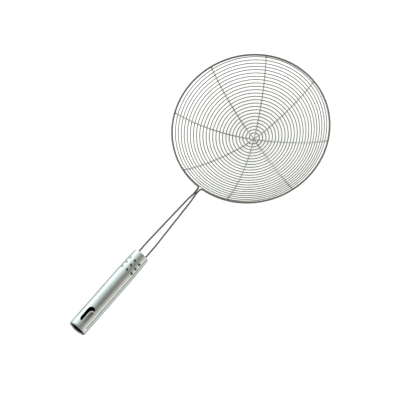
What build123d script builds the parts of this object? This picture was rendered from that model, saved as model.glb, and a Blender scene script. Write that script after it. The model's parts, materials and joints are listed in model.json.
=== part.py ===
from build123d import *
import math
import os

os.makedirs("parts", exist_ok=True)

# Spider skimmer: a bowl of one spiral wire welded under four ribs, hung in a wire hoop whose
# two ends run on as legs into a tubular handle.
# Origin: centre of the hoop. +Z: up, out of the open bowl. The handle points along -Y.
# Lengths are in millimetres and angles in degrees.

# Hoop and bowl
hoop_radius = 80.0  # to the middle of the wire
hoop_wire = 2.0
bowl_depth = 31.5  # from the hoop's middle down to the lowest rib's middle
rib_wire = 1.2
mesh_wire = 1.0
mesh_full_turns = 23
mesh_start = 4.0  # along the bowl, from the turns' centre to the inner end of the spiral
mesh_start_azimuth = 240.0
mesh_end_azimuth = -112.0
mesh_rim_gap = 0.8  # clear space between the spiral's outer end and the hoop
mesh_shift = 2.6  # the middle turns' centre lies this far off the hoop's axis
mesh_shift_azimuth = 154.7
mesh_shift_fade_share = 0.29  # of that shift, how much the turns have lost at the hoop
mesh_oval_share = 0.011  # the turns reach this much further along Y, and less along X, than round ones
weld_bite = 0.15  # how deep two wires sink into each other where they are spot welded

# Ribs, from the lowest wire at the crossing to the top one: for each of a wire's two ends, its azimuth
# from +X at the hoop and halfway down the bowl
rib_azimuths = [
    [(25.0, 26.1), (203.0, 205.2)],
    [(-69.9, -68.5), (116.3, 116.0)],
    [(74.2, 74.9), (249.4, 249.8)],
    [(-19.9, -20.5), (158.3, 160.7)],
]
rib_crossing = (-0.5, -0.6)  # where the ribs cross, off the hoop's axis
crossing_bite = 0.3  # how deep the ribs are pressed into each other where they cross
hump_run = 4.0  # how much further out each rib starts to climb over the one below it
rib_end_sink = 0.3  # how deep a rib's end is let into the hoop
rib_bead = 0.9  # radius of the weld bead at a rib's end

# Neck: where the hoop's wire turns out of the circle and its two legs are welded side by side
neck_side = -2.5  # the weld lies this far off the Y axis
tight_bend = 1.8  # middle of the wire, on the -X side
tight_lean = 0.5  # at the hoop, that side is this much further out than at the weld
round_bend = 3.2  # middle of the wire, on the +X side
round_lean = 0.6
neck_length = 7.2  # from the hoop's circle to the weld, where the legs part again
neck_bead = 0.9  # radius of the bead's rounded bar
neck_bead_length = 3.0
neck_bead_lift = 0.5  # the bead's middle, over the legs' middles

# Legs and handle
handle_side = -2.1  # the handle lies this far off the Y axis
handle_rise = 7.5  # slope of the legs and the handle over the hoop's plane
leg_length = 86.6  # from the weld to the handle's front edge
flare_length = 10.4  # over which the legs part quickly, past the weld
flare_spacing = 4.1  # between the legs' middles at the end of it
leg_spacing = 9.5  # between the legs' middles at the handle
leg_parallel = 16.0  # how far in front of the handle the legs become parallel
leg_grip = 24.0  # how far the legs go into the handle
leg_part_radius = 12.0
leg_flare_radius = 60.0
leg_parallel_radius = 150.0
handle_length = 99.6
front_radius = 8.8
back_radius = 9.5
crimp_length = 25.0  # over which the tube swells from its front edge to its full width
handle_wall = 1.0
handle_turn = 10.5  # the tube's slot and dents are turned this far towards +X
front_edge_round = 0.25

# Rolled lip at the handle's open back end
lip_thickness = 2.35
lip_land = 3.2
lip_outer_round = 1.2
lip_inner_round = 1.05

# Hanging slot through the handle's upper wall
slot_width = 8.0
slot_length = 18.7
slot_back_gap = 6.7  # from the slot's end to the handle's back end

# Dents that crimp the tube onto the plug inside it
dent_rows = [10.2, 16.2, 22.3]  # from the handle's front edge
dents_around = 9
dent_radius = 1.65  # at the tube's surface
dent_depth = 0.9

# Plug inside the handle's front end
plug_length = 27.0
plug_recess = 0.8
plug_clearance = 0.08
plug_hole_clearance = 0.05
groove_clearance = 0.15

# Points at which the spiral's gap to itself is measured
gap_points = 90  # in each turn
gap_window = 10  # how many to each side of the one a full turn on

# Share of a turn to each side of a point of the spiral, between which its direction is taken
way_step = 0.0001

# One overrun serves every cut
overrun = 1.0

# Sizes that follow from those above
bowl_radius = (hoop_radius**2 + bowl_depth**2) / (2 * bowl_depth)
bowl_centre_height = bowl_radius - bowl_depth
rim_arc = bowl_radius * math.asin(hoop_radius / bowl_radius)
mesh_offset = (rib_wire + mesh_wire) / 2 - weld_bite
mesh_ball = bowl_radius + mesh_offset
mesh_rim_distance = (hoop_wire + mesh_wire) / 2 + mesh_rim_gap
mesh_rim_arc = rim_arc - math.sqrt(mesh_rim_distance**2 - mesh_offset**2)
mesh_rim_shift = mesh_shift * (1 - mesh_shift_fade_share)
mesh_rim_reach = mesh_ball * math.sin(mesh_rim_arc / bowl_radius)
mesh_end_turn = math.radians(mesh_end_azimuth)
mesh_end_past_shift = math.radians(mesh_end_azimuth - mesh_shift_azimuth)
mesh_end_aside = mesh_rim_shift * math.sin(mesh_end_past_shift)
mesh_end_ahead = mesh_rim_shift * math.cos(mesh_end_past_shift)
mesh_end_reach = math.sqrt(mesh_rim_reach**2 - mesh_end_aside**2) - mesh_end_ahead
mesh_end_stretch = 1 - mesh_oval_share * math.cos(2 * mesh_end_turn)
mesh_end_arc = bowl_radius * math.asin(mesh_end_reach / mesh_ball) / mesh_end_stretch
mesh_turns = mesh_full_turns + (mesh_start_azimuth - mesh_end_azimuth) % 360 / 360
mesh_quarters = 4 * math.ceil(mesh_turns)  # the arcs' pairs, each a quarter turn or a little less
mesh_climb = (mesh_end_arc - mesh_start) / mesh_turns
rib_end = rim_arc - hoop_wire / 2 + rib_end_sink
rib_bead_arc = rim_arc - hoop_wire / 2
rib_step = rib_wire - crossing_bite
leg_offset = (hoop_wire - weld_bite) / 2
neck_reach = hoop_radius + neck_length


def bowl_place(x, y):
    """The point of the ribs' ball under or over this place."""
    return Vector(x, y, bowl_centre_height - math.sqrt(bowl_radius**2 - x**2 - y**2))


def bowl_point(arc, azimuth):
    """A point of the ribs' ball, arc along it from its lowest point."""
    reach = bowl_radius * math.sin(arc / bowl_radius)
    turn = math.radians(azimuth)
    return bowl_place(reach * math.cos(turn), reach * math.sin(turn))


def biarc(start, start_way, end, end_way):
    """Two arcs in tangent that leave start along start_way and reach end along end_way."""
    chord = end - start
    spread = 2 * (1 - start_way.dot(end_way))
    along = chord.dot(start_way + end_way)
    reach = (math.sqrt(along**2 + spread * chord.dot(chord)) - along) / spread
    first = start + start_way * reach
    second = end - end_way * reach
    joint = (first + second) * 0.5
    return [
        TangentArc(start, joint, tangent=start_way),
        TangentArc(joint, end, tangent=(second - first).normalized()),
    ]


def wire_along(edges, diameter, start, way):
    """A round wire swept along the joined edges."""
    section = Plane(origin=start, z_dir=way) * Circle(diameter / 2)
    return sweep(section, path=Wire(edges))


def report(name, solid, diameter, edges):
    """Print a wire's length, and its volume as a share of its section times its length."""
    length = sum(edge.length for edge in edges)
    section = math.pi * diameter**2 / 4
    print(f"{name}: length {length:.1f} mm, volume share {solid.volume / (section * length):.4f}")


def save(name, shape):
    export_step(shape, f"parts/{name}.step")


# Spiral mesh


def mesh_point(turns):
    """The spiral's point after so many turns, clockwise as seen from above."""
    arc = mesh_start + mesh_climb * turns
    turn = math.radians(mesh_start_azimuth - 360 * turns)
    shift_turn = math.radians(mesh_shift_azimuth)
    shift = mesh_shift * (1 - mesh_shift_fade_share * (arc / rim_arc) ** 2)
    reach = mesh_ball * math.sin(arc * (1 - mesh_oval_share * math.cos(2 * turn)) / bowl_radius)
    x = reach * math.cos(turn) + shift * math.cos(shift_turn)
    y = reach * math.sin(turn) + shift * math.sin(shift_turn)
    return Vector(x, y, bowl_centre_height - math.sqrt(mesh_ball**2 - x**2 - y**2))


def mesh_way(turns):
    """The spiral's direction there, from two points close to it."""
    return (mesh_point(turns + way_step) - mesh_point(turns - way_step)).normalized()


def mesh_least_gap():
    """The least clear space between a turn of the spiral and the next one, over sampled points."""
    count = math.floor(mesh_turns * gap_points)
    points = [mesh_point(i / gap_points) for i in range(count + 1)]
    least = min(
        (points[i] - points[i + gap_points + shift]).length
        for i in range(gap_window, count - gap_points - gap_window)
        for shift in range(-gap_window, gap_window + 1)
    )
    return least - mesh_wire


def mesh_hoop_gap():
    """The least clear space between the spiral and the hoop, over the last turn's sampled points."""
    points = [mesh_point(mesh_turns - i / gap_points) for i in range(gap_points + 1)]
    least = min(math.hypot(math.hypot(p.X, p.Y) - hoop_radius, p.Z) for p in points)
    return least - (hoop_wire + mesh_wire) / 2


def mesh_off_ball(edges):
    """How far the spiral's arcs stray from their ball between their ends, at most."""
    centre = Vector(0, 0, bowl_centre_height)
    return max(abs((edge @ 0.5 - centre).length - mesh_ball) for edge in edges)


def make_mesh_spiral():
    edges = []
    for quarter in range(mesh_quarters):
        start = mesh_turns * quarter / mesh_quarters
        end = mesh_turns * (quarter + 1) / mesh_quarters
        edges += biarc(mesh_point(start), mesh_way(start), mesh_point(end), mesh_way(end))
    spiral = wire_along(edges, mesh_wire, mesh_point(0), mesh_way(0))
    report("mesh_spiral", spiral, mesh_wire, edges)
    print(f"mesh_spiral: least gap to itself {mesh_least_gap():.2f} mm, to the hoop {mesh_hoop_gap():.2f} mm")
    print(f"mesh_spiral: climb {mesh_climb:.3f} mm a turn, off its ball by {mesh_off_ball(edges):.3f} mm at most")
    return spiral


# Ribs


crossing = bowl_place(*rib_crossing)


def rib_half(azimuths):
    """Half a rib as one arc on the ribs' ball, from the hoop down to the crossing."""
    outer, halfway = azimuths
    return ThreePointArc(bowl_point(rib_end, outer), bowl_point(rim_arc / 2, halfway), crossing)


def make_rib(layer, halves):
    """A rib that follows the bowl and humps over the ribs below it at the middle."""
    foot = hump_run * (layer + 1)
    first, last = [rib_half(azimuths) for azimuths in halves]
    crown = crossing + Vector(0, 0, layer * rib_step)
    crown_way = (first % 1 - last % 1).normalized()
    down = first.trim(0, 1 - foot / first.length)
    up = last.trim(0, 1 - foot / last.length)
    edges = [down]
    edges += biarc(down @ 1, down % 1, crown, crown_way)
    edges += biarc(crown, crown_way, up @ 1, -(up % 1))
    edges.append(ThreePointArc(up @ 1, up @ 0.5, up @ 0))
    rib = wire_along(edges, rib_wire, down @ 0, down % 0)
    report(f"rib_wire_{layer + 1}", rib, rib_wire, edges)
    return rib


def make_rib_end_welds():
    """A bead round each rib's end, where it meets the hoop's surface."""
    places = [bowl_point(rib_bead_arc, outer) for halves in rib_azimuths for outer, halfway in halves]
    return Compound(children=[Pos(*place) * Sphere(rib_bead) for place in places])


# Hoop with its two legs, one bent wire

rise = math.radians(handle_rise)
handle_way = Vector(0, -math.cos(rise), math.sin(rise))
neck = Vector(neck_side, -neck_reach, 0)
handle_front = Vector(handle_side, -neck_reach, 0) + handle_way * leg_length


def neck_bend(side, radius, lean):
    """Where the bend out of the hoop meets the hoop and the leg, and the leg's way to the hoop."""
    way = Vector(side * lean, neck_length, 0).normalized()
    out = Vector(way.Y, -way.X, 0) * side
    start = neck + Vector(side * leg_offset, 0, 0) + out * radius
    ahead = -start.dot(way)
    run = ahead - math.sqrt(ahead**2 - start.dot(start) + (hoop_radius + radius) ** 2)
    centre = start + way * run
    return centre * (hoop_radius / (hoop_radius + radius)), centre - out * radius, way


def leg_points(side, on_leg):
    """A leg's corners, from the bend at the neck to its end inside the handle."""
    parting = neck + Vector(side * leg_offset, 0, 0)
    flare_middle = neck + (handle_front - neck) * (flare_length / leg_length)
    flare = flare_middle + Vector(side * flare_spacing / 2, 0, 0)
    entry = handle_front + Vector(side * leg_spacing / 2, 0, 0)
    return [on_leg, parting, flare, entry - handle_way * leg_parallel, entry + handle_way * leg_grip]


def make_hoop_and_legs():
    hoop_left, leg_left, way_left = neck_bend(-1, tight_bend, tight_lean)
    hoop_right, leg_right, _ = neck_bend(1, round_bend, round_lean)
    left = leg_points(-1, leg_left)[::-1]
    right = leg_points(1, leg_right)
    way_right = Vector(hoop_right.Y, -hoop_right.X, 0).normalized()
    radii = [leg_part_radius, leg_flare_radius, leg_parallel_radius]
    parts = [
        FilletPolyline(*left, radius=radii[::-1]),
        TangentArc(leg_left, hoop_left, tangent=way_left),
        ThreePointArc(hoop_left, Vector(0, hoop_radius, 0), hoop_right),
        TangentArc(hoop_right, leg_right, tangent=way_right),
        FilletPolyline(*right, radius=radii),
    ]
    edges = [edge for part in parts for edge in part.edges()]
    wire = wire_along(edges, hoop_wire, left[0], -handle_way)
    report("hoop_and_legs", wire, hoop_wire, edges)
    return wire


def make_neck_weld():
    """A rounded bar of weld that bridges the two legs where they lie side by side."""
    straight = neck_bead_length - 2 * neck_bead
    bar = Rot(0, 90, 0) * Cylinder(neck_bead, straight)
    for side in (-1, 1):
        bar += Pos(side * straight / 2, 0, 0) * Sphere(neck_bead)
    return Pos(*neck) * Pos(0, 0, neck_bead_lift) * bar


# Handle tube, made along its own axis from its front edge and then set in place

handle_place = Plane(origin=handle_front, x_dir=(1, 0, 0), z_dir=handle_way)


def outer_radius(along):
    return front_radius + (back_radius - front_radius) * min(along / crimp_length, 1)


def inner_radius(along):
    return outer_radius(along) - handle_wall


def round_profile(points):
    """A flat outline of radius and distance along the axis, turned about the axis."""
    outline = make_face(Polyline(*[(radius, 0, along) for radius, along in points], close=True))
    return revolve(outline, axis=Axis.Z)


def turned_plane(along, turn):
    """A plane on the tube's axis that faces out through its wall, turned from its top towards +X."""
    angle = math.radians(turn)
    return Plane(origin=(0, 0, along), x_dir=(0, 0, 1), z_dir=(math.sin(angle), math.cos(angle), 0))


def tube_body():
    lip_inner = back_radius - lip_thickness
    land_start = handle_length - lip_land
    lip_start = land_start - (inner_radius(land_start) - lip_inner)
    body = round_profile(
        [
            (front_radius, 0),
            (back_radius, crimp_length),
            (back_radius, handle_length),
            (lip_inner, handle_length),
            (lip_inner, land_start),
            (inner_radius(lip_start), lip_start),
            (inner_radius(crimp_length), crimp_length),
            (inner_radius(0), 0),
        ]
    )
    back_edges = body.edges().filter_by(GeomType.CIRCLE).group_by(Axis.Z)[-1].sort_by(SortBy.RADIUS)
    body = fillet(back_edges[-1], lip_outer_round)
    back_edges = body.edges().filter_by(GeomType.CIRCLE).group_by(Axis.Z)[-1].sort_by(SortBy.RADIUS)
    body = fillet(back_edges[0], lip_inner_round)
    front_edges = body.edges().filter_by(GeomType.CIRCLE).group_by(Axis.Z)[0].sort_by(SortBy.RADIUS)
    return fillet(front_edges[-1], front_edge_round)


def dent_ball_radius(depth):
    """The ball that leaves a dent of this depth and the named radius at the tube's surface."""
    return (dent_radius**2 + depth**2) / (2 * depth)


def make_handle_tube():
    tube = tube_body()
    ball = dent_ball_radius(dent_depth)
    places = []
    for along in dent_rows:
        for index in range(dents_around):
            turn = handle_turn + 360 / dents_around * index
            centre = turned_plane(along, turn) * Pos(0, 0, outer_radius(along) + ball - dent_depth)
            places.append(centre)
    swells = [place * Sphere(ball + handle_wall) for place in places]
    inside = round_profile(
        [
            (0, 0),
            (outer_radius(0) - handle_wall / 2, 0),
            (outer_radius(crimp_length) - handle_wall / 2, crimp_length),
            (0, crimp_length),
        ]
    )
    tube += [swell & inside for swell in swells]
    tube -= [place * Sphere(ball) for place in places]
    slot_middle = handle_length - slot_back_gap - slot_length / 2
    slot = turned_plane(slot_middle, handle_turn) * SlotOverall(slot_length, slot_width)
    tube -= extrude(slot, back_radius + overrun)
    return handle_place * tube


def make_handle_plug():
    """The plug that the dents hold: a groove under each row of them and a hole for each leg."""
    end = plug_recess + plug_length
    ball = dent_ball_radius(dent_depth) + handle_wall
    reach_in = dent_depth + groove_clearance
    half_groove = math.sqrt(ball**2 - (ball - dent_depth) ** 2) + groove_clearance
    points = [(0, plug_recess), (inner_radius(plug_recess) - plug_clearance, plug_recess)]
    for along in dent_rows:
        for edge, depth in ((-1, 0), (-1, reach_in), (1, reach_in), (1, 0)):
            place = along + edge * half_groove
            points.append((inner_radius(place) - plug_clearance - depth, place))
    points += [(inner_radius(end) - plug_clearance, end), (0, end)]
    plug = round_profile(points)
    hole = Cylinder(
        hoop_wire / 2 + plug_hole_clearance,
        end + overrun,
        align=(Align.CENTER, Align.CENTER, Align.MIN),
    )
    for side in (-1, 1):
        plug -= Pos(side * leg_spacing / 2, 0, 0) * hole
    return handle_place * plug


save("hoop_and_legs", make_hoop_and_legs())
for layer, halves in enumerate(rib_azimuths):
    save(f"rib_wire_{layer + 1}", make_rib(layer, halves))
save("mesh_spiral", make_mesh_spiral())
save("rib_end_welds", make_rib_end_welds())
save("neck_weld", make_neck_weld())
save("handle_tube", make_handle_tube())
save("handle_plug", make_handle_plug())
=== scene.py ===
import json
import math

import bpy
from mathutils import Matrix, Vector


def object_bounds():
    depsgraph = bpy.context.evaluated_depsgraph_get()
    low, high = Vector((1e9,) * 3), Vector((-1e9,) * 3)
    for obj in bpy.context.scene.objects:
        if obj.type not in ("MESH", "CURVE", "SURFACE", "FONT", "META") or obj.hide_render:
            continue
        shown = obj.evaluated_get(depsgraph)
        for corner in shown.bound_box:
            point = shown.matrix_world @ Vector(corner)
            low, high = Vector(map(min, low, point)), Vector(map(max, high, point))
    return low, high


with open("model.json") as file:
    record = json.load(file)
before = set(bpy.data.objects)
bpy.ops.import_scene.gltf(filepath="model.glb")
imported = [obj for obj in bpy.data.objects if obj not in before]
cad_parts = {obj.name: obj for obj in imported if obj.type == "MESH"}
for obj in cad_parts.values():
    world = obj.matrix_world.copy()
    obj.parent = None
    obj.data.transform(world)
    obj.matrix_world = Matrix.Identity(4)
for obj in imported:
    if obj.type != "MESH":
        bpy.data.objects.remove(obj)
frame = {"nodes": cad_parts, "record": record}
cad_low, cad_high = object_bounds()

mm = 0.001

# Handle: lengths along it are measured from its front edge
handle_length = 99.6 * mm
handle_front_radius = 8.8 * mm
handle_back_radius = 9.5 * mm
crimp_length = 25.0 * mm  # over which the tube swells from its front edge to its full width
mouth_depth = 2.15 * mm  # from the back end to the middle of the mouth's mount
slot_width = 8.0 * mm
slot_length = 18.7 * mm
slot_back_gap = 6.7 * mm  # from the slot's end to the handle's back end
slot_turn = math.radians(10.5)  # the slot is turned this far towards +X
seam_turn = math.radians(56.8)  # from the slot's middle towards +X
slot_middle = handle_length - slot_back_gap - slot_length / 2
slot_half_run = (slot_length - slot_width) / 2  # half of the slot's straight part

# The handle's own directions, from its mouth's mount, and the slot's, which are turned with it
mouth = next(m for m in frame["record"]["mounts"] if m["name"] == "handle_mouth")
handle_way = Vector(mouth["axis"]).normalized()
handle_front = Vector(mouth["pos_m"]) - handle_way * (handle_length - mouth_depth)
handle_side = Vector((1, 0, 0))
handle_up = handle_way.cross(handle_side)
slot_up = handle_up * math.cos(slot_turn) + handle_side * math.sin(slot_turn)
slot_side = handle_side * math.cos(slot_turn) - handle_up * math.sin(slot_turn)

# Azimuths of the eight half ribs, in degrees from +X
rib_azimuths = (26.0, 204.8, -68.8, 116.0, 74.7, 249.7, -20.4, 160.0)
heat_tint_reach = 1.7 * mm  # to each side of a rib, on the wires that are welded to it

# Camera, fitted to the photograph: angles in degrees and the focal length in its pixels
camera_azimuth = 59.579
camera_elevation = 68.127
camera_roll = -22.820
camera_distance = 3.0
camera_left = 50.82 * mm  # the line of view passes this far to the left of the hoop's centre
camera_below = 72.43 * mm  # and this far below it
focal_pixels = 2981.5
image_pixels = 400
sensor_width = 36.0  # in millimetres


# Nodes


def first_of(tree, kind):
    return next(node for node in tree.nodes if node.type == kind)


class Graph:
    """A node tree, with short calls for the nodes that the materials and the sky are made of."""

    def __init__(self, tree):
        self.tree = tree

    def give(self, socket, value):
        """Links a socket to another one's value, or sets it to a plain value."""
        if isinstance(value, bpy.types.NodeSocket):
            self.tree.links.new(value, socket)
        else:
            socket.default_value = value

    def node(self, kind, inputs=None, **settings):
        made = self.tree.nodes.new(kind)
        for name, value in settings.items():
            setattr(made, name, value)
        for name, value in (inputs or {}).items():
            self.give(made.inputs[name], value)
        return made

    def calc(self, operation, a, b=0.0):
        return self.node("ShaderNodeMath", {0: a, 1: b}, operation=operation).outputs[0]

    def add(self, a, b):
        return self.calc("ADD", a, b)

    def subtract(self, a, b):
        return self.calc("SUBTRACT", a, b)

    def times(self, a, b):
        return self.calc("MULTIPLY", a, b)

    def outside(self, value, middle, half_span=0.0):
        """How far a value lies outside a span about its middle, and zero inside it."""
        away = self.calc("ABSOLUTE", self.subtract(value, middle))
        return self.calc("MAXIMUM", self.subtract(away, half_span), 0.0)

    def distance(self, a, b):
        """Distance from zero of a point with these two coordinates."""
        return self.calc("SQRT", self.add(self.times(a, a), self.times(b, b)))

    def vector(self, operation, a, b):
        return self.node("ShaderNodeVectorMath", {0: a, 1: tuple(b)}, operation=operation).outputs[0]

    def dot(self, vector, axis):
        inputs = {0: vector, 1: tuple(axis)}
        return self.node("ShaderNodeVectorMath", inputs, operation="DOT_PRODUCT").outputs["Value"]

    def ease(self, value, low, high, out_low=0.0, out_high=1.0):
        """A smooth step from out_low to out_high while the value goes from low to high."""
        inputs = {"Value": value, "From Min": low, "From Max": high, "To Min": out_low, "To Max": out_high}
        return self.node("ShaderNodeMapRange", inputs, interpolation_type="SMOOTHSTEP").outputs["Result"]

    def noise(self, vector, scale, detail=3.0, roughness=0.5):
        inputs = {"Vector": vector, "Scale": scale, "Detail": detail, "Roughness": roughness}
        return self.node("ShaderNodeTexNoise", inputs).outputs["Fac"]

    def blend(self, factor, a, b):
        """Colour a where the factor is 0, and colour b where it is 1."""
        made = self.node("ShaderNodeMix", data_type="RGBA")
        factor_input, a_input, b_input = made.inputs[0], made.inputs[6], made.inputs[7]
        self.give(factor_input, factor)
        self.give(a_input, a)
        self.give(b_input, b)
        return made.outputs[2]


class Metal(Graph):
    """A bare steel material. The lower its edge, the darker it looks where it is seen at a low angle."""

    def __init__(self, name, edge):
        self.material = bpy.data.materials.new(name)
        self.material.use_nodes = True
        super().__init__(self.material.node_tree)
        self.shader = first_of(self.tree, "BSDF_PRINCIPLED")
        self.give(self.shader.inputs["Metallic"], 1.0)
        self.give(self.shader.inputs["Specular Tint"], (edge, edge, edge, 1))
        self.place = self.node("ShaderNodeTexCoord").outputs["Object"]

    def in_handle(self):
        """Where a point lies along the handle, and beside and above its axis, as the slot is turned."""
        start = self.vector("SUBTRACT", self.place, handle_front)
        return self.dot(start, handle_way), self.dot(start, slot_side), self.dot(start, slot_up)

    def finish(self, colour, roughness, height, bump_depth, bump_strength):
        inputs = {"Height": height, "Distance": bump_depth, "Strength": bump_strength}
        bump = self.node("ShaderNodeBump", inputs)
        self.give(self.shader.inputs["Base Color"], colour)
        self.give(self.shader.inputs["Roughness"], roughness)
        self.give(self.shader.inputs["Normal"], bump.outputs["Normal"])
        return self.material


def grey(value, warm=0.0, olive=0.0):
    return (value * (1 + warm), value, value * (1 - warm - olive), 1)


# Wires and welds


def near_ribs(metal):
    """1 on the lines of the ribs, and 0 further from them than the heat tint reaches."""
    nearest = None
    for azimuth in rib_azimuths:
        turn = math.radians(azimuth)
        aside = metal.calc("ABSOLUTE", metal.dot(metal.place, (math.sin(turn), -math.cos(turn), 0)))
        behind = metal.calc("LESS_THAN", metal.dot(metal.place, (math.cos(turn), math.sin(turn), 0)), 0.0)
        away = metal.add(aside, behind)
        nearest = away if nearest is None else metal.calc("MINIMUM", nearest, away)
    return metal.ease(nearest, heat_tint_reach * 0.45, heat_tint_reach, 1.0, 0.0)


def wire_material(name, base, rough, olive, heat_tinted=False):
    """Drawn stainless wire: fine draw marks, faint stains, and a dull heat tint at the ribs' welds."""
    metal = Metal(name, edge=0.3)
    stained = grey(base * 0.9, warm=0.02, olive=olive)
    clean = grey(base * 1.06, warm=0.01, olive=olive)
    stains = metal.noise(metal.place, scale=55.0, detail=4.0, roughness=0.6)
    marks = metal.noise(metal.place, scale=2600.0, detail=2.0, roughness=0.7)
    colour = metal.blend(metal.ease(stains, 0.35, 0.7), stained, clean)
    uneven = metal.noise(metal.place, scale=210.0)
    roughness = metal.ease(uneven, 0.25, 0.75, rough * 0.8, rough * 1.35)
    if heat_tinted:
        patches = metal.noise(metal.place, scale=160.0)
        tint = metal.times(near_ribs(metal), metal.ease(patches, 0.2, 0.6, 0.55, 1.0))
        colour = metal.blend(tint, colour, grey(base * 0.34, warm=0.05))
        roughness = metal.add(roughness, metal.times(tint, 0.16))
    return metal.finish(colour, roughness, marks, bump_depth=0.02 * mm, bump_strength=0.35)


def weld_material(name, dark, light):
    """Cleaned weld metal: rough, lumpy and darker, with a straw tint in places."""
    metal = Metal(name, edge=0.5)
    lumps = metal.noise(metal.place, scale=900.0, detail=4.0, roughness=0.6)
    tint = metal.ease(metal.noise(metal.place, scale=300.0), 0.35, 0.65)
    colour = metal.blend(tint, grey(dark, warm=0.02), grey(light, warm=0.06))
    roughness = metal.ease(lumps, 0.3, 0.7, 0.32, 0.55)
    return metal.finish(colour, roughness, lumps, bump_depth=0.12 * mm, bump_strength=0.7)


# Handle

satin_dark = (0.592, 0.63, 0.61, 1)
satin_light = (0.662, 0.7, 0.678, 1)
brush_line = (0.49, 0.52, 0.502, 1)
# Colour of the painted highlight round the slot's edge
slot_edge_highlight = (0.8, 0.8, 0.79, 1)
# The hollow's painted shade, and the painted light and glow of the patch under the slot
hollow_painted_shade = (0.07, 0.075, 0.07, 1)
patch_painted_light_colour = (0.86, 0.88, 0.8, 1)
patch_painted_glow_colour = (0.95, 1.0, 0.88, 1)
# Colour of the painted shade in the dents
dent_painted_shade = (0.02, 0.022, 0.02, 1)
seam_steel = (0.1, 0.1, 0.095, 1)
lip_steel = (0.43, 0.425, 0.395, 1)


class TubeMetal(Metal):
    """The tube's steel, whose features are laid over its colour and roughness one after another."""

    def __init__(self):
        super().__init__("handle_steel", edge=0.05)
        self.along, self.aside, self.above = self.in_handle()
        self.around = self.calc("ARCTAN2", self.aside, self.above)
        # Depth under the tube's outside, which swells over its crimped front end
        swelling = (handle_back_radius - handle_front_radius) / crimp_length
        swollen = self.times(self.calc("MINIMUM", self.along, crimp_length), swelling)
        surface = self.add(swollen, handle_front_radius)
        self.depth = self.subtract(surface, self.distance(self.aside, self.above))
        self.brush_steel()

    def brush_steel(self):
        """Faint clouds, and brush lines long along the tube and a fraction of a millimetre across."""
        lines_along, lines_across = 60.0, 2600.0  # in each metre
        inputs = {0: self.times(self.along, lines_along), 1: self.aside, 2: self.above}
        stretched = self.node("ShaderNodeCombineXYZ", inputs).outputs[0]
        brush_place = self.vector("MULTIPLY", stretched, (1.0, lines_across, lines_across))
        self.brush = self.noise(brush_place, scale=1.0, detail=2.0, roughness=0.6)
        cloud = self.noise(self.place, scale=38.0, roughness=0.55)
        self.colour = self.blend(self.ease(cloud, 0.3, 0.7), satin_dark, satin_light)
        self.cover(self.ease(self.brush, 0.3, 0.75, 0.0, 0.22), brush_line)
        brushed = self.ease(self.brush, 0.3, 0.7, -0.02, 0.05)
        self.rough = self.add(self.ease(cloud, 0.3, 0.7, 0.2, 0.27), brushed)

    def cover(self, share, colour):
        """Lays a colour over the tube's, as strongly as the share says."""
        self.colour = self.blend(share, self.colour, colour)

    def roughen(self, share, amount):
        """Adds to the tube's roughness, as strongly as the share says."""
        self.rough = self.add(self.rough, self.times(share, amount))

    def from_slot_line(self, middle=slot_middle, beside=0.0):
        """Distance from the middle line of an outline as long as the slot's, with its middle where given."""
        past_end = self.outside(self.along, middle, slot_half_run)
        return self.distance(past_end, self.subtract(self.aside, beside))

    def brighten_slot_edge(self):
        """Painted highlight: lighter metal round the slot's edge, on the tube's outside."""
        from_edge = self.subtract(self.from_slot_line(), slot_width / 2)
        near_edge = self.ease(from_edge, 0.1 * mm, 0.8 * mm, 1.0, 0.0)
        edge_highlight = self.times(near_edge, self.ease(self.above, 0.0, 2 * mm))
        # Painted highlight along the slot's edge, in a lighter steel colour
        self.cover(self.times(edge_highlight, 0.6), slot_edge_highlight)

    def paint_hollow_shade_and_light(self):
        """The hollow's inner wall painted dark as shade, with a dull pale patch on its far wall painted as
        the light that the slot lets in.
        """
        patch_forward = 1.7 * mm  # the patch's middle lies this far in front of the slot's
        patch_aside = 0.7 * mm  # and this far towards +X
        past_crimp = self.ease(self.along, crimp_length, crimp_length + 5 * mm)
        inner = self.times(self.ease(self.depth, 0.6 * mm, 0.9 * mm), past_crimp)
        from_patch = self.from_slot_line(slot_middle - patch_forward, patch_aside)
        far_wall = self.ease(self.above, -2 * mm, -1 * mm, 1.0, 0.0)
        patch = self.times(self.ease(from_patch, 3.8 * mm, 4.1 * mm, 1.0, 0.0), far_wall)
        inside_rim = self.ease(from_patch, 3.0 * mm, 3.3 * mm, 1.0, 0.0)
        rim = self.subtract(patch, self.times(patch, inside_rim))
        # Painted shade on the inner wall, and painted light in the patch under the slot
        self.cover(inner, self.blend(patch, hollow_painted_shade, patch_painted_light_colour))
        dull_lit_patch = self.times(inner, patch)
        self.roughen(dull_lit_patch, 0.2)
        self.give(self.shader.inputs["Metallic"], self.subtract(1.0, self.times(dull_lit_patch, 0.8)))
        # Painted light: the patch glows faintly, most along its rim, standing in for the light let in
        # through the slot
        lit = self.times(dull_lit_patch, self.add(0.07, self.times(rim, 0.6)))
        self.give(self.shader.inputs["Emission Strength"], lit)
        self.give(self.shader.inputs["Emission Color"], patch_painted_glow_colour)

    def shade_dents(self):
        """Painted shade at the bottom of the dents, less of it on the lit -X side."""
        deep = self.ease(self.depth, 0.25 * mm, 0.65 * mm)
        dent_shade = self.times(deep, self.ease(self.aside, -6.5 * mm, -3 * mm, 0.25, 1.0))
        crimped = self.ease(self.along, crimp_length + 1 * mm, crimp_length + 2 * mm, 1.0, 0.0)
        # Painted shade in the dents, darkening their bottoms
        self.cover(self.times(self.times(dent_shade, crimped), 0.95), dent_painted_shade)

    def draw_seam(self):
        """The welded seam along the tube, ground flat: a thin dull line that ends before the lip."""
        line = self.ease(self.outside(self.around, seam_turn), 0.05, 0.085, 1.0, 0.0)
        before_lip = self.ease(self.along, handle_length - 5.6 * mm, handle_length - 3.6 * mm, 1.0, 0.0)
        self.cover(self.times(self.times(line, before_lip), 0.92), seam_steel)

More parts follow.
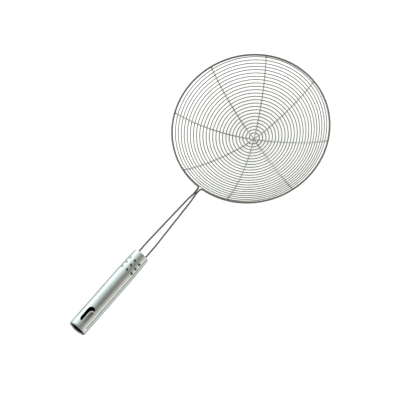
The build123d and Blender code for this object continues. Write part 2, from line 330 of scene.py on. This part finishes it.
    def dull_lip(self):
        """The rolled lip: rougher, and darker in colour."""
        lip = self.ease(self.along, handle_length - 1.5 * mm, handle_length - 1.1 * mm)
        self.cover(self.times(lip, 0.8), lip_steel)
        self.roughen(lip, 0.1)


def tube_material():
    """Satin steel tube, brushed lengthwise."""
    metal = TubeMetal()
    metal.brighten_slot_edge()
    metal.paint_hollow_shade_and_light()
    metal.shade_dents()
    metal.draw_seam()
    metal.dull_lip()
    return metal.finish(metal.colour, metal.rough, metal.brush, bump_depth=0.01 * mm, bump_strength=0.35)


def plug_material():
    """A turned steel plug, with rings from the tool."""
    metal = Metal("plug_steel", edge=0.6)
    ring_step = 0.35 * mm
    aside, above = metal.in_handle()[1:]
    rings = metal.calc("SINE", metal.times(metal.distance(aside, above), 2 * math.pi / ring_step))
    cloud = metal.noise(metal.place, scale=120.0)
    colour = metal.blend(metal.ease(cloud, 0.3, 0.7), grey(0.4, warm=0.02), grey(0.52, warm=0.01))
    roughness = metal.ease(cloud, 0.3, 0.7, 0.3, 0.42)
    return metal.finish(colour, roughness, rings, bump_depth=0.02 * mm, bump_strength=0.3)


def dress_nodes():
    finishes = {
        "hoop_and_legs": wire_material("hoop_steel", base=0.21, rough=0.17, olive=0.05),
        "mesh_spiral": wire_material("mesh_steel", base=0.3, rough=0.2, olive=0.15, heat_tinted=True),
        "rib_end_welds": weld_material("weld_metal", dark=0.2, light=0.36),
        "neck_weld": weld_material("neck_weld_metal", dark=0.02, light=0.06),
        "handle_tube": tube_material(),
        "handle_plug": plug_material(),
    }
    rib_steel = wire_material("rib_steel", base=0.58, rough=0.2, olive=0.05)
    for name, piece in frame["nodes"].items():
        piece.data.materials.clear()
        piece.data.materials.append(finishes.get(name, rib_steel))


# Floor, light and camera


def link(thing):
    bpy.context.scene.collection.objects.link(thing)


def stage_floor():
    """A plain pale floor just under the object's lowest point, which glows enough to be white."""
    half_side = 4.0
    gap = 0.2 * mm
    mesh = bpy.data.meshes.new("floor")
    corners = [(x * half_side, y * half_side, 0) for x, y in ((-1, -1), (1, -1), (1, 1), (-1, 1))]
    mesh.from_pydata(corners, [], [(0, 1, 2, 3)])
    floor = bpy.data.objects.new("floor", mesh)
    link(floor)
    floor.location.z = cad_low.z - gap
    material = bpy.data.materials.new("pale_floor")
    material.use_nodes = True
    shader = first_of(material.node_tree, "BSDF_PRINCIPLED")
    shader.inputs["Base Color"].default_value = (0.86, 0.86, 0.86, 1)
    shader.inputs["Roughness"].default_value = 0.9
    shader.inputs["Emission Color"].default_value = (1, 1, 1, 1)
    shader.inputs["Emission Strength"].default_value = 0.6
    mesh.materials.append(material)


def softbox(name, way, distance, size, power, colour):
    """A rectangular light that faces the object's middle from the given direction."""
    object_middle = Vector((0, -0.09, 0))
    data = bpy.data.lights.new(name, "AREA")
    data.shape = "RECTANGLE"
    data.size, data.size_y = size
    data.energy = power
    data.color = colour
    light = bpy.data.objects.new(name, data)
    way = Vector(way).normalized()
    light.location = object_middle + way * distance
    light.rotation_mode = "QUATERNION"
    light.rotation_quaternion = way.to_track_quat("Z", "Y")
    link(light)


def studio_sky():
    """Pale walls on the X sides, dimmer ones at the Y ends and overhead, and a large soft glow.

    The light from the +X side is a little warm. The glow on the -X side is a little green.
    """
    world = bpy.data.worlds.new("studio")
    bpy.context.scene.world = world
    world.use_nodes = True
    sky = Graph(world.node_tree)
    overhead = 0.34
    plain_light, warm_light, green_light = (1, 1, 1, 1), (1.0, 0.945, 0.87, 1), (0.85, 1.0, 0.965, 1)
    glow_way = Vector((-0.93, 0.2, 0.38)).normalized()
    way = sky.node("ShaderNodeTexCoord").outputs["Generated"]
    x, y, z = sky.node("ShaderNodeSeparateXYZ", {0: way}).outputs
    low = sky.ease(z, 0.05, 0.75, 1.0, 0.0)
    sides = sky.ease(sky.calc("ABSOLUTE", x), 0.18, 0.78, -0.19, 0.56)
    ends = sky.ease(sky.calc("ABSOLUTE", y), 0.5, 0.95, 0.0, 0.42)
    walls = sky.add(overhead, sky.times(low, sky.add(sides, ends)))
    glow = sky.ease(sky.dot(way, glow_way), 0.1, 0.92, 0.0, 0.78)
    tone = sky.blend(sky.ease(x, 0.15, 0.7), plain_light, warm_light)
    background = first_of(sky.tree, "BACKGROUND")
    sky.give(background.inputs["Color"], sky.blend(glow, tone, green_light))
    sky.give(background.inputs["Strength"], sky.add(walls, glow))


def place_camera():
    azimuth, elevation, roll = (math.radians(a) for a in (camera_azimuth, camera_elevation, camera_roll))
    level = Vector((math.cos(azimuth), math.sin(azimuth), 0))
    towards = Vector((math.sin(azimuth), -math.cos(azimuth), 0))
    back = towards * math.cos(elevation) + Vector((0, 0, math.sin(elevation)))
    lifted = back.cross(level)
    right = level * math.cos(roll) + lifted * math.sin(roll)
    up = lifted * math.cos(roll) - level * math.sin(roll)
    place = back * camera_distance - right * camera_left - up * camera_below
    lens = bpy.data.cameras.new("camera")
    lens.sensor_width = sensor_width
    lens.lens = sensor_width * focal_pixels / image_pixels
    lens.clip_start, lens.clip_end = 0.05, 50.0
    camera = bpy.data.objects.new("camera", lens)
    link(camera)
    turned = Matrix((right, up, back)).transposed().to_4x4()
    camera.matrix_world = Matrix.Translation(place) @ turned
    bpy.context.scene.camera = camera


dress_nodes()
stage_floor()
studio_sky()
softbox("softbox_left", (-0.86, 0.2, 0.5), distance=1.4, size=(1.4, 0.7), power=2.0, colour=(0.9, 1.0, 0.97))
place_camera()
bpy.context.scene.view_settings.view_transform = "Standard"
bpy.context.scene.view_settings.look = "None"
